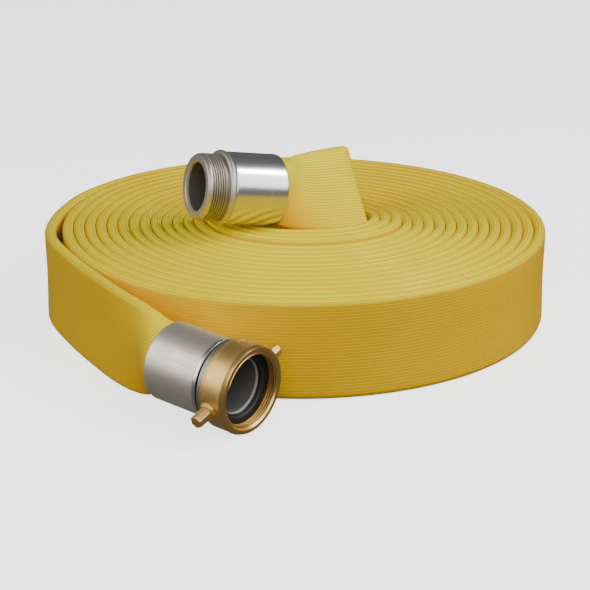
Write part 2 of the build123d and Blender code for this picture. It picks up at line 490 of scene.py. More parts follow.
def new_piece(name: str, mesh: bmesh.types.BMesh, body: Body, slot: str, *nodes: str) -> bpy.types.Object:
    """Make a finished piece from a bmesh that is already in its place.

    Args:
        name: the piece's name.
        mesh: its mesh in the row frame, which this frees.
        body: the body that it rides on.
        slot: the record's material slot; not used.
        *nodes: the CAD nodes that it replaces.

    Returns:
        The new object, at the origin, unturned and unscaled.
    """
    data = bpy.data.meshes.new(name)
    mesh.to_mesh(data)
    mesh.free()
    data.shade_smooth()
    piece = bpy.data.objects.new(name, data)
    bpy.context.scene.collection.objects.link(piece)
    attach(piece, body.value)
    if nodes:
        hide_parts(*nodes)
    log.info("%s: %d faces", name, len(data.polygons))
    return piece


def even_normals(piece: bpy.types.Object) -> None:
    """Let each vertex normal follow its larger faces, so that flats stay flat.

    Args:
        piece: the piece to shade evenly.
    """
    weighted = piece.modifiers.new("even_normals", "WEIGHTED_NORMAL")
    weighted.keep_sharp = True
    weighted.weight = 90


def turned(profile: Profile, steps: int = 144, soften: float = 0.35) -> bmesh.types.BMesh:
    """Spin a closed outline about Z and round its sharp edges.

    Args:
        profile: (radius, height) corners.
        steps: divisions round the circle.
        soften: width of the rounding, 0 for none.

    Returns:
        The closed mesh, in millimetres, about Z.
    """
    mesh = bmesh.new()
    corners = [mesh.verts.new((radius, 0.0, height)) for radius, height in profile]
    edges = [mesh.edges.new((a, b)) for a, b in zip(corners, corners[1:] + corners[:1])]
    bmesh.ops.spin(
        mesh,
        geom=[*corners, *edges],
        cent=(0, 0, 0),
        axis=(0, 0, 1),
        angle=2 * pi,
        steps=steps,
        use_merge=True,
    )
    bmesh.ops.remove_doubles(mesh, verts=mesh.verts, dist=0.001)
    bmesh.ops.recalc_face_normals(mesh, faces=mesh.faces)
    if soften:
        round_over(mesh, soften)
    return mesh


def round_over(mesh: bmesh.types.BMesh, width: float, least: float = 28.0, segments: int = 2) -> None:
    """Bevel every edge that is sharper than an angle.

    Args:
        mesh: the mesh to work on.
        width: the bevel's width.
        least: the least angle, in degrees, between an edge's faces.
        segments: the bevel's segments.
    """
    sharp = [e for e in mesh.edges if len(e.link_faces) == 2 and degrees(e.calc_face_angle(0)) > least]
    bmesh.ops.bevel(
        mesh,
        geom=sharp,
        offset=width,
        affect="EDGES",
        segments=segments,
        profile=0.5,
        material=-1,
        clamp_overlap=True,
    )


def helix(ridge: Profile, pitch: float, turns: float, fade_to: float, steps: int = 72) -> bmesh.types.BMesh:
    """Wind a thread ridge about Z, running out at both ends.

    Args:
        ridge: (radius, height) corners of the ridge's section at its start.
        pitch: climb for each turn.
        turns: how many turns.
        fade_to: the radius that the ridge sinks to at its ends.
        steps: divisions for each turn.

    Returns:
        The closed ridge, in millimetres.
    """
    mesh = bmesh.new()
    corners = [mesh.verts.new((radius, 0.0, height)) for radius, height in ridge]
    edges = [mesh.edges.new((a, b)) for a, b in zip(corners, corners[1:] + corners[:1])]
    count = round(turns * steps)
    bmesh.ops.spin(
        mesh,
        geom=[*corners, *edges],
        cent=(0, 0, 0),
        axis=(0, 0, 1),
        dvec=(0, 0, pitch / steps),
        angle=2 * pi * turns,
        steps=count,
    )
    foot = min(height for _, height in ridge)
    run_out, end = THREAD_RUN_OUT * pitch, (turns + THREAD_REACH) * pitch
    for vert in mesh.verts:
        climb = vert.co.z - foot
        fade = min(1.0, climb / run_out, (end - climb) / run_out)
        reach = hypot(vert.co.x, vert.co.y)
        scale = (fade_to + (reach - fade_to) * max(0.0, fade)) / reach
        vert.co.x *= scale
        vert.co.y *= scale
    bmesh.ops.holes_fill(mesh, edges=[e for e in mesh.edges if e.is_boundary], sides=0)
    bmesh.ops.recalc_face_normals(mesh, faces=mesh.faces)
    return mesh


def thread_ridge(foot_r: float, crest_r: float, start: float) -> Profile:
    """The section of a thread's ridge, sunk a little into the wall it stands on.

    Args:
        foot_r: the radius of its foot.
        crest_r: the radius of its flat crest.
        start: where the foot starts along the axis.

    Returns:
        Its four corners.
    """
    return [(foot_r, start), (crest_r, start + 0.95), (crest_r, start + 1.25), (foot_r, start + 2.15)]


def joined(first: bmesh.types.BMesh, *others: bmesh.types.BMesh) -> bmesh.types.BMesh:
    """Add closed shells to one mesh.

    Args:
        first: the mesh that takes the others in.
        *others: meshes to add, which this frees.

    Returns:
        The first mesh.
    """
    for other in others:
        carrier = bpy.data.meshes.new("carrier")
        other.to_mesh(carrier)
        other.free()
        first.from_mesh(carrier)
        bpy.data.meshes.remove(carrier)
    return first


def placed(mesh: bmesh.types.BMesh, place: Matrix) -> bmesh.types.BMesh:
    """Move a mesh from a coupling's own millimetres to its place in metres."""
    bmesh.ops.transform(mesh, matrix=place @ Matrix.Scale(MM, 4), verts=mesh.verts)
    return mesh


# ---------------------------------------------------------------- the hose


@dataclass(frozen=True)
class Station:
    """One control section of the hose.

    Args:
        centre: the section's middle.
        half: from the middle to the upper folded edge.
        swell: 0 where the hose is flat, 1 where it is round.
    """

    centre: Vector
    half: Vector
    swell: float = 0.0


@dataclass
class Spiral:
    """The flat hose's turns, from the outermost, number 0, clockwise to the middle.

    Args:
        centre: the middle of the ovals, about the middle of the roll.
        half_x: the outermost oval's half-width.
        half_y: the outermost oval's half-depth.
        pitch_x: how much the half-width loses in a turn.
        pitch_y: how much the half-depth loses in a turn.
        turns: how many turns.
        start: bearing of the outermost turn's start, in degrees.
        dent: how deep the tail presses into the roll.
        dent_at: bearing of the dent, in degrees.
        dent_spread: degrees on each side over which the dent fades.
        lift: how much higher the innermost turns stand.
        lift_turns: how many turns stand so.
    """

    centre: tuple[float, float] = (4.5, -3.2)
    half_x: float = 232.7
    half_y: float = 237.3
    pitch_x: float = 10.09
    pitch_y: float = 11.86
    turns: float = 15.917
    start: float = 150.0
    dent: float = 9.5
    dent_at: float = 200.0
    dent_spread: float = 60.0
    lift: float = 4.4
    lift_turns: float = 3.0

    def point(self, turn: float, inset: float = 0.0) -> Vector:
        """A plan point of the spiral.

        Args:
            turn: how far along the spiral, in turns.
            inset: distance inwards from the outer face.

        Returns:
            The point, about the middle of the roll.
        """
        bearing = self.start - 360.0 * turn
        off_dent = min(abs((bearing - self.dent_at + 180.0) % 360.0 - 180.0), self.dent_spread)
        inset += self.dent * cos(radians(90.0 * off_dent / self.dent_spread)) ** 2
        x = (self.half_x - self.pitch_x * turn - inset) * cos(radians(bearing))
        y = (self.half_y - self.pitch_y * turn - inset) * sin(radians(bearing))
        return Vector((self.centre[0] + x, self.centre[1] + y, 0.0))

    def raised(self, turn: float) -> float:
        """How much higher than the outer turns the hose stands at a turn."""
        share = min(1.0, max(0.0, (turn - self.turns + self.lift_turns + 0.5)))
        return self.lift * share * share * (3.0 - 2.0 * share)


@dataclass
class Hose:
    """The whole hose as one flattened ribbed tube, in three lengths end to end.

    Args:
        female: the outer coupling's place.
        male: the inner coupling's place.
        spiral: the wound turns.
        width: the flat hose's width.
        thickness: its thickness, at the folded edges.
        waist: how much each flat side sinks in the middle.
        wall: the wall's thickness.
        round_r: the radius where the hose is round.
        ribs: ribs round the whole hose.
        rib_depth: how deep the grooves between them are.
        joint_at: where in a turn one length of mesh meets the next.
        per_turn: control sections for each turn.
        resolution: samples for each control section.
        wander: how far a turn strays sideways.
        uneven: how much taller or lower the strip is in places.
        flat_below: the least swell that opens the bore.
        top_band: share of the section about the upper edge that is finely ribbed in the roll.
        foot_band: share of it about the lower edge that is fairly fine.
        coarse: steps that one face spans on the roll's hidden flats.
        outer: the outer end from its coupling to the roll, as plan centre line and swell.
        riser: the inner end up the hole to the crease, as centre and direction of the width.
        crease_top: the fold's upper end.
        crease_foot: the fold's lower end.
        hairpin: round the fold, the distance back along the flap and out in front of its middle.
        flap_run: towards the inner ferrule, the distance from it, the swell and the sag.
        ferrule_run: out of a ferrule, the distance from it and the swell.
    """

    UV = "along_hose"
    female: Matrix
    male: Matrix
    spiral: Spiral = field(default_factory=Spiral)
    width: float = 86.0
    thickness: float = 10.05
    waist: float = 0.7
    wall: float = 3.2
    round_r: float = 29.3
    ribs: int = 67
    rib_depth: float = 0.5
    joint_at: float = 0.1875
    per_turn: int = 48
    resolution: int = 3
    wander: float = 0.1
    uneven: float = 0.9
    flat_below: float = 0.02
    top_band: float = 0.085
    foot_band: float = 0.065
    coarse: int = 6
    outer: tuple[tuple[float, float, float, float], ...] = (
        (-106.5, -240.0, 42.6, 0.66),
        (-112.6, -234.2, 43.2, 0.43),
        (-118.6, -227.6, 43.4, 0.27),
        (-126.0, -218.9, 43.2, 0.16),
        (-134.2, -208.5, 43.0, 0.09),
        (-142.5, -196.3, 43.0, 0.04),
        (-150.3, -183.9, 43.0, 0.015),
        (-157.6, -171.2, 43.0, 0.005),
        (-165.0, -157.8, 43.0, 0.0),
        (-175.2, -139.4, 43.0, 0.0),
        (-185.4, -119.7, 43.0, 0.0),
        (-195.2, -99.4, 43.0, 0.0),
        (-204.4, -79.5, 43.0, 0.0),
        (-211.8, -61.6, 43.0, 0.0),
        (-217.5, -44.0, 43.0, 0.0),
        (-220.6, -27.0, 43.0, 0.0),
        (-221.5, -10.0, 43.0, 0.0),
        (-220.6, 10.5, 43.0, 0.0),
        (-218.5, 31.0, 43.0, 0.0),
        (-214.6, 51.4, 43.0, 0.0),
        (-209.8, 71.6, 43.0, 0.0),
        (-202.6, 92.6, 43.0, 0.0),
    )
    riser: tuple[tuple[Triple, Triple], ...] = (
        ((-50.0, 14.0, 49.5), (0.0, 0.0, 1.0)),
        ((-37.5, 24.5, 54.0), (0.0, 0.0, 1.0)),
        ((-20.0, 30.5, 62.0), (0.0, 0.0, 1.0)),
        ((0.0, 31.5, 74.0), (-0.02, 0.06, 1.0)),
        ((20.0, 28.0, 90.0), (-0.1, 0.2, 0.97)),
        ((38.0, 20.0, 103.0), (-0.2, 0.4, 0.89)),
    )
    crease_top: Triple = (48.5, 33.0, 143.5)
    crease_foot: Triple = (68.5, -10.0, 77.0)
    hairpin: tuple[tuple[float, float], ...] = ((11.0, -6.5), (4.0, -4.0), (1.0, 0.0), (4.0, 4.0))
    flap_run: tuple[Triple, ...] = (
        (64.0, 0.07, 0.9),
        (54.0, 0.13, 1.7),
        (44.0, 0.2, 2.5),
        (35.0, 0.28, 3.1),
        (26.0, 0.38, 3.5),
        (18.0, 0.52, 3.1),
        (11.0, 0.7, 1.8),
    )
    ferrule_run: tuple[tuple[float, float], ...] = ((0.0, 1.0), (5.0, 0.92))
    # What lay_out and build work out: the sampled middle line, the upper edge's guide, the swell
    # and the distance along the hose at each sample, and the two materials.
    line: list[Vector] = field(init=False, default_factory=list)
    upper: list[Vector] = field(init=False, default_factory=list)
    swell: list[float] = field(init=False, default_factory=list)
    reach: list[float] = field(init=False, default_factory=list)
    finishes: list[bpy.types.Material] = field(init=False, default_factory=list)

    def home(self) -> Vector:
        """Where the middle of the roll stands, from the CAD roll's box.

        Returns:
            The point, on the floor.
        """
        low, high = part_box("hose_roll")
        rim = [self.spiral.point(step / self.per_turn) for step in range(self.per_turn + 1)]
        x = high.x / MM - max(point.x for point in rim)
        y = (low.y + high.y) / 2 / MM - (min(p.y for p in rim) + max(p.y for p in rim)) / 2
        return Vector((x, y, 0.0))

    def end_stations(self, place: Matrix, up: Vector) -> list[Station]:
        """Control sections just behind a ferrule, out of it along its axis.

        Args:
            place: the coupling's matrix.
            up: the direction of the hose's width.

        Returns:
            The sections, from the ferrule outwards.
        """
        axis = place.to_3x3() @ Vector((0, 0, 1))
        half = (up - axis * axis.dot(up)).normalized() * self.width / 2
        rear = place.translation / MM
        return [Station(rear - axis * back, half, swell) for back, swell in self.ferrule_run]

    def stations(self) -> list[Station]:
        """All control sections, from the outer coupling to the inner one.

        Returns:
            The sections in order.
        """
        home = self.home()
        up = Vector((0, 0, 1))
        half = up * self.width / 2
        route = self.end_stations(self.female, up)
        route += [Station(home + Vector(place), half, swell) for *place, swell in self.outer]
        count = round(self.spiral.turns * self.per_turn)
        for step in range(count + 1):
            turn = step / self.per_turn
            stray = self.wander * noise.noise(Vector((turn * 2.3, 4.0, 0.0)))
            taller = self.uneven * noise.noise(Vector((turn * 3.1, 0.0, 9.0)))
            centre = home + self.spiral.point(turn, self.thickness / 2 + stray)
            centre += up * (self.width / 2 + self.spiral.raised(turn) + max(0.0, taller))
            route.append(Station(centre, half + up * taller / 2))
        for place, way in self.riser:
            route.append(Station(home + Vector(place), Vector(way).normalized() * self.width / 2))
        return route + self.flap(home)

    def flap(self, home: Vector) -> list[Station]:
        """Control sections from the crease to the inner coupling.

        Args:
            home: the middle of the roll.

        Returns:
            The sections in order.
        """
        top, foot = Vector(self.crease_top) + home, Vector(self.crease_foot) + home
        across = (top - foot).normalized()
        middle = (top + foot) / 2
        rear = self.male.translation / MM
        run = (rear - middle).normalized()
        front = across.cross(run).normalized()
        half = across * self.width / 2
        sections = [Station(middle + run * back + front * out, half) for back, out in self.hairpin]
        ending = self.end_stations(self.male, across)[::-1]
        start, axis = sections[-1].centre, self.male.to_3x3() @ Vector((0, 0, 1))
        for back, swell, sag in self.flap_run:
            on_axis = rear - axis * back
            share = min(1.0, back / (start - rear).length)
            centre = on_axis.lerp(rear.lerp(start, share), share)
            sections.append(Station(centre - across * sag, half, swell))
        return sections + ending

    def sampled(self, points: list[Vector]) -> list[Vector]:
        """Points along the smooth NURBS line of some control points.

        Args:
            points: the control points.

        Returns:
            Points read from Blender's own evaluation of the line.
        """
        curve = bpy.data.curves.new("rail", "CURVE")
        curve.dimensions = "3D"
        spline = curve.splines.new("NURBS")
        spline.points.add(len(points) - 1)
        for target, point in zip(spline.points, points):
            target.co = (*point, 1.0)
        spline.order_u = 3
        spline.use_endpoint_u = True
        curve.resolution_u = self.resolution
        spline.resolution_u = self.resolution
        carrier = bpy.data.objects.new("rail", curve)
        mesh = bpy.data.meshes.new_from_object(carrier)
        line = [vert.co.copy() for vert in mesh.vertices]
        bpy.data.meshes.remove(mesh)
        bpy.data.objects.remove(carrier)
        bpy.data.curves.remove(curve)
        return line

    def outline(self, around: float, swell: float, depth: float, inner: bool) -> tuple[float, float]:
        """A point of the hose's section.

        Args:
            around: the share of the way round, from the middle of one flat side.
            swell: 0 for flat, 1 for round.
            depth: how much of the ribs' depth to take, from 0 to 1.
            inner: whether the point is on the wall's inner face.

        Returns:
            Distances along the width and out of the flat side.
        """
        wall = self.wall if inner else 0.0
        edge = self.thickness / 2
        straight = self.width - self.thickness
        whole = 2 * straight + 2 * pi * edge
        step = (around % 1.0) * whole
        side = 1.0
        if step > whole / 2:
            step = whole - step
            side = -1.0
        if step <= straight / 2:
            up, out, lean = step, edge, pi / 2
            waist = self.waist * (1.0 - (2 * step / straight) ** 2) ** 2
        elif step < straight / 2 + pi * edge:
            lean = pi / 2 - (step - straight / 2) / edge
            up, out, waist = straight / 2 + edge * cos(lean), edge * sin(lean), 0.0
        else:
            up, out, lean = straight - step + pi * edge, -edge, -pi / 2
            waist = -self.waist * (1.0 - (2 * up / straight) ** 2) ** 2
        flat_up = up - wall * cos(lean)
        flat_out = out - waist - wall * sin(lean)
        bearing = 2 * pi * around
        radius = self.round_r - wall
        round_up, round_out = radius * abs(sin(bearing)), radius * cos(bearing)
        rib = -self.rib_depth * depth * (0.5 + 0.5 * cos(2 * pi * self.ribs * around)) ** 2
        rise = flat_up + (round_up - flat_up) * swell
        reach = flat_out + (round_out - flat_out) * swell
        lean += (pi / 2 - min(bearing, 2 * pi - bearing) - lean) * swell
        return side * (rise + rib * cos(lean)), reach + rib * sin(lean)

    def ring(self, index: int, around: Places, inner: bool = False) -> list[Vector]:
        """The points of the hose's skin at one sample of its line.

        Args:
            index: the sample.
            around: places round the section, each with its share of the ribs' depth.
            inner: whether to take the wall's inner face.

        Returns:
            The points, in millimetres.
        """
        before, after = self.line[max(0, index - 1)], self.line[min(len(self.line) - 1, index + 1)]
        run = (after - before).normalized()
        half = self.upper[index] - self.line[index]
        up = (half - run * run.dot(half)).normalized()
        stretch = half.length / (self.width / 2)
        out = run.cross(up)
        points = []
        for place, depth in around:
            rise, reach = self.outline(place, self.swell[index], 0.0 if inner else depth, inner)
            points.append(self.line[index] + up * rise * stretch + out * reach)
        return points

    def skin(self, name: str, rings: list[tuple[int, bool]], around: Places, *nodes: str) -> None:
        """Make one length of the hose.

        Args:
            name: the piece's name.
            rings: the samples that it runs through, each with whether on the inner face.
            around: places round the section, each with its share of the ribs' depth.
            *nodes: the CAD nodes that it replaces.
        """
        mesh = bmesh.new()
        uv = mesh.loops.layers.uv.new(self.UV)
        round_count, ring_count = len(around) - 1, len(rings) - 1
        bmesh.ops.create_grid(mesh, x_segments=round_count, y_segments=ring_count, size=0.5)
        mesh.verts.ensure_lookup_table()
        for row, (index, inner) in enumerate(rings):
            for column, point in enumerate(self.ring(index, around, inner)):
                mesh.verts[row * (round_count + 1) + column].co = point * MM
        for face in mesh.faces:
            lining = True
            for loop in face.loops:
                row, column = divmod(loop.vert.index, round_count + 1)
                loop[uv].uv = (around[column][0], self.reach[rings[row][0]] * MM)
                lining = lining and rings[row][1]
            face.material_index = 1 if lining else 0
        bmesh.ops.remove_doubles(mesh, verts=mesh.verts, dist=MERGE_WITHIN * MM)
        # The lengths meet edge to edge, so their ends don't bend the shading of the sides.
        open_ends = [edge for edge in mesh.edges if edge.is_boundary]
        for edge in open_ends:
            edge.smooth = False
        bmesh.ops.holes_fill(mesh, edges=open_ends, sides=0)
        bmesh.ops.recalc_face_normals(mesh, faces=mesh.faces)
        piece = new_piece(name, mesh, Body.HOSE, "hose", *nodes)
        for finish in self.finishes:
            piece.data.materials.append(finish)

    def places(self) -> tuple[Places, Places]:
        """Places round the section, for the ends and for the roll.

        Returns:
            Three for each rib, and fewer of them where the turns hide each other.
        """
        fine = [(step / (3 * self.ribs), 1.0) for step in range(3 * self.ribs + 1)]
        sparse = []
        for step, (place, _) in enumerate(fine):
            near_top, near_foot = abs(place - 0.25) < self.top_band, abs(place - 0.75) < self.foot_band
            if near_top or step % self.coarse == 0 or (near_foot and step % 2 == 0):
                sparse.append((place, 1.0 if near_top else 0.0))
        return fine, sparse

    def lay_out(self) -> None:
        """Run the smooth lines through every control section, and measure the hose."""
        route = self.stations()
        self.line = self.sampled([s.centre for s in route])
        self.upper = self.sampled([s.centre + s.half for s in route])
        self.swell = [point.x for point in self.sampled([Vector((s.swell, 0, 0)) for s in route])]
        self.reach = [0.0]
        for a, b in zip(self.line, self.line[1:]):
            self.reach.append(self.reach[-1] + (b - a).length)
        log.info("hose length %.2f m, %d samples", self.reach[-1] * MM, len(self.line))

    def build(self) -> None:
        """Make the outer, wound and inner lengths."""
        self.lay_out()
        lining = PlainRubber("black_lining", (0.02, 0.019, 0.018))
        self.finishes = [RibbedRubber(ribs=self.ribs).build(), lining.build()]
        fine, sparse = self.places()
        per_turn = self.per_turn * self.resolution
        before_roll = len(self.ferrule_run) + len(self.outer) - 1
        first = before_roll * self.resolution + round(per_turn * (1.0 + self.joint_at))
        last = first + per_turn * (int(self.spiral.turns) - 2)
        end = len(self.line) - 1
        flat = [i for i, swell in enumerate(self.swell) if swell < self.flat_below]
        inside = [(i, True) for i in range(flat[0], -1, -1)]
        outside = [(i, False) for i in range(0, first + 1)]
        self.skin("hose_outer_length", inside + outside, fine, "hose_outer_tail", "hose_outer_swell")
        wound = [(i, False) for i in range(first, last + 1, 2)]
        self.skin("hose_wound_length", wound, sparse, "hose_roll")
        outside = [(i, False) for i in range(last, end + 1)]
        inside = [(i, True) for i in range(end, flat[-1], -1)]
        inner_nodes = ("hose_inner_riser", "hose_inner_flap", "hose_fold_lip")
        self.skin("hose_inner_length", outside + inside, fine, *inner_nodes)


# ---------------------------------------------------------------- the couplings


@dataclass
class Coupling:
    """What both couplings share: a place, a barbed tail, a ferrule and the hose in it.

    Args:
        place: the coupling's matrix: origin at the ferrule's rear, Z out of the mouth.
        ferrule_length: the ferrule's length, which the other places along the axis go on from.
        ferrule_r: its outer radius.
        hose_outer_r: the outer radius of the hose inside it.
        hose_inner_r: the inner radius of that hose.
        waterway_r: the shank's bore.
        tail_start: where the barbed tail starts.
        barbs: how many barbs it has.
        barb_pitch: from barb to barb.
        barb_depth: how far they stand out.
        rim: how far the ferrule's rims are rolled in, along the axis.
        ease: the gap left between pieces that slide or bear on each other.
    """

    place: Matrix
    ferrule_length: float = 50.8
    ferrule_r: float = 32.6
    hose_outer_r: float = 29.4
    hose_inner_r: float = 26.1
    waterway_r: float = 22.0
    tail_start: float = 3.0
    barbs: int = 5
    barb_pitch: float = 9.0
    barb_depth: float = 0.9
    rim: float = 1.6
    ease: float = 0.02

    def tail(self) -> Profile:
        """The shank's barbed tail.

        Returns:
            Its outline's corners, from the hose end forwards.
        """
        root = self.hose_inner_r - self.barb_depth
        corners = [(self.waterway_r, self.tail_start), (root, self.tail_start)]
        for barb in range(self.barbs):
            foot = self.tail_start + 1.0 + barb * self.barb_pitch
            corners += [(root, foot), (self.hose_inner_r - 0.05, foot + 0.6 * self.barb_pitch)]
            corners += [(root, foot + 0.75 * self.barb_pitch)]
        return corners + [(root, self.ferrule_length)]

    def ferrule(self, name: str, finish: bpy.types.Material) -> None:
        """Make the ferrule, a drawn tube whose rims are rolled in a little.

        Args:
            name: the piece's name and the CAD node's.
            finish: its material.
        """
        inner, outer = self.hose_outer_r + self.ease, self.ferrule_r
        front = self.ferrule_length - self.ease
        tube = [(inner, 0.0), (outer - 0.5, 0.0), (outer, self.rim)]
        tube += [(outer, self.ferrule_length - self.rim), (outer - 0.35, front), (inner, front)]
        self.finished(name, turned(tube), finish, slot="ferrule")

    def finished(
        self,
        name: str,
        mesh: bmesh.types.BMesh,
        finish: bpy.types.Material,
        body: Body = Body.HOSE,
        slot: str = "",
    ) -> None:
        """Put a mesh in place of the CAD node of its name, with its material.

        Args:
            name: the piece's name.
            mesh: its mesh in the coupling's own millimetres.
            finish: its material.
            body: the body that it rides on.
            slot: the record's material slot, where it isn't called as the piece is.
        """
        piece = new_piece(name, placed(mesh, self.place), body, slot or name, name)
        piece.data.materials.append(finish)
        even_normals(piece)


@dataclass
class SwivelCoupling(Coupling):
    """The outer coupling: collared shank, thrust ring, gasket and pin-lug nut.

    Each part's name with _r is a radius. One with _start, _end, _at or _tip is a place along the
    axis, except lug_tip, which is the lugs' reach from the axis. The pad is the boss that each lug
    flares into, and an _edge is a rounding's width.
    """

    collar_r: float = 33.5
    collar_end: float = 54.3
    shoulder_r: float = 30.0
    shoulder_end: float = 56.4
    ring_r: float = 34.2
    ring_end: float = 60.2
    neck_r: float = 27.9
    neck_end: float = 71.4
    lip_r: float = 23.4
    seat: float = 71.7
    gasket_end: float = 75.9
    gasket_r: float = 30.9
    gasket_bore_r: float = 23.6
    nut_start: float = 60.5
    nut_end: float = 85.0
    nut_r: float = 36.5
    crest_r: float = 29.2
    root_r: float = 30.6
    pitch: float = 2.209
    thread_turns: float = 2.9
    lug_at: float = 69.5
    lug_tip: float = 51.3
    lug_r: float = 5.7
    lug_sunk: float = 4.5
    lug_taper: float = 0.5
    lug_edge: float = 1.1
    pad_r: float = 7.3
    pad_foot_r: float = 9.3
    pad_depth: float = 6.0
    pad_rise: float = 3.4
    pad_edge: float = 1.2
    wire_at: float = 66.0
    wire_groove_r: float = 1.55

    def groove(self, side: int) -> Profile:
        """Half of the retaining wire's round groove, in order of height.

        Args:
            side: 1 for the half in the nut, -1 for the half in the neck.

        Returns:
            Its corners.
        """
        start = self.neck_r + (0.1 if side > 0 else 0.0)
        depth, at = self.wire_groove_r, self.wire_at
        leans = [radians(step) for step in range(-75, 76, 15)]
        arc = [(start + side * depth * cos(lean), at + depth * sin(lean)) for lean in leans]
        return [(start, at - depth), *arc, (start, at + depth)]

    def build(self) -> None:
        """Make every piece of the coupling."""
        satin = BareMetal(
            "satin_aluminium",
            (0.98, 0.91, 0.77),
            (0.36, 0.31, 0.25),
            roughness=0.4,
            lay=Lay.LENGTHWISE,
            marks=0.9,
        )
        bright = BareMetal(
            "bright_aluminium",
            (0.74, 0.73, 0.70),
            (0.45, 0.44, 0.42),
            roughness=0.24,
            bore_r=self.waterway_r + 0.15,
            painted_shade_hollows=(31.5, 33.0, 70.0),
        )
        grey = BareMetal("grey_aluminium", (0.42, 0.41, 0.38), (0.22, 0.21, 0.19), roughness=0.4)
        brass = BareMetal(
            "cast_brass",
            (0.95, 0.62, 0.2),
            (0.64, 0.38, 0.1),
            roughness=0.35,
            grain=0.5,
            bright_from=self.nut_end - 4.0,
        )
        self.ferrule("female_ferrule", satin.build(self.place))
        shank = self.tail() + [
            (self.collar_r, self.ferrule_length),
            (self.collar_r, self.collar_end),
            (self.shoulder_r, self.collar_end),
            (self.shoulder_r, self.shoulder_end),
            (self.neck_r, self.shoulder_end),
            *self.groove(-1),
            (self.neck_r, self.neck_end - 0.5),
            (self.lip_r + 1.0, self.neck_end - 0.3),
            (self.lip_r, self.neck_end + 0.6),
            (self.waterway_r, self.neck_end + 0.6),
        ]
        self.finished("female_shank", turned(shank), bright.build(self.place))
        bore, rear = self.neck_r + self.ease, self.shoulder_end + self.ease
        ring = [(bore, rear), (self.ring_r, rear), (self.ring_r, self.ring_end), (bore, self.ring_end)]
        self.finished("thrust_ring", turned(ring, soften=0.5), grey.build(self.place))
        gasket = [
            (self.gasket_bore_r + 0.3, self.seat),
            (self.gasket_r, self.seat),
            (self.gasket_r, self.gasket_end),
            (self.gasket_bore_r + 1.6, self.gasket_end - 0.2),
            (self.gasket_bore_r + 0.3, self.gasket_end - 1.4),
        ]
        black = PlainRubber("black_gasket", (0.012, 0.011, 0.011), 0.5).build()
        self.finished("nut_gasket", turned(gasket, soften=0.4), black, Body.SWIVEL)
        self.finished("swivel_nut", self.nut(), brass.build(self.place), Body.SWIVEL)

    def nut(self) -> bmesh.types.BMesh:
        """The nut's body, its inside thread and its two lugs.

        Returns:
            The closed shells in one mesh.
        """
        body = [
            (self.neck_r + 0.1, self.nut_start),
            (self.nut_r - 1.6, self.nut_start),
            (self.nut_r - 1.0, self.nut_start + 2.8),
            (self.nut_r - 1.6, self.nut_start + 3.1),
            (self.nut_r - 0.25, self.nut_start + 3.6),
            (self.nut_r - 0.25, self.nut_end - 5.6),
            (self.nut_r, self.nut_end - 4.8),
            (self.nut_r, self.nut_end - 2.9),
            (self.nut_r - 1.2, self.nut_end),
            (self.root_r + 1.5, self.nut_end),
            (self.root_r, self.nut_end - 1.6),
            (self.root_r, self.gasket_end + 0.1),
            (self.gasket_r + 0.1, self.gasket_end),
            (self.gasket_r + 0.1, self.seat),
            (self.neck_r + 0.1, self.seat),
            *reversed(self.groove(1)),
        ]
        foot_r = self.root_r + 0.1
        ridge = thread_ridge(foot_r, self.crest_r, self.gasket_end + 0.3)
        thread = helix(ridge, self.pitch, self.thread_turns, foot_r)
        return joined(turned(body), thread, *(self.lug(side) for side in (0.0, pi)))

    def lug(self, bearing: float) -> bmesh.types.BMesh:
        """One blunt six-sided lug that flares into the nut.

        Args:
            bearing: its direction round the nut, in radians.

        Returns:
            The closed lug.
        """
        sunk = self.nut_r - self.lug_sunk
        mesh = bmesh.new()
        depth = self.lug_tip - sunk
        bmesh.ops.create_cone(
            mesh,
            cap_ends=True,
            segments=6,
            radius1=self.lug_r + self.lug_taper,
            radius2=self.lug_r,
            depth=depth,
            matrix=Matrix.Translation((0, 0, sunk + depth / 2)),
        )
        round_over(mesh, self.lug_edge, segments=3)
        pad = bmesh.new()
        bmesh.ops.create_cone(
            pad,
            cap_ends=True,
            segments=8,
            radius1=self.pad_foot_r,
            radius2=self.pad_r,
            depth=self.pad_depth,
            matrix=Matrix.Translation((0, 0, sunk + self.pad_rise)),
        )
        round_over(pad, self.pad_edge, segments=3)
        lug = joined(mesh, pad)
        turn = Matrix.Rotation(bearing, 4, "Z") @ Matrix.Rotation(pi / 2, 4, "Y")
        lift = Matrix.Translation((0, 0, self.lug_at))
        bmesh.ops.transform(lug, matrix=lift @ turn, verts=lug.verts)
        return lug


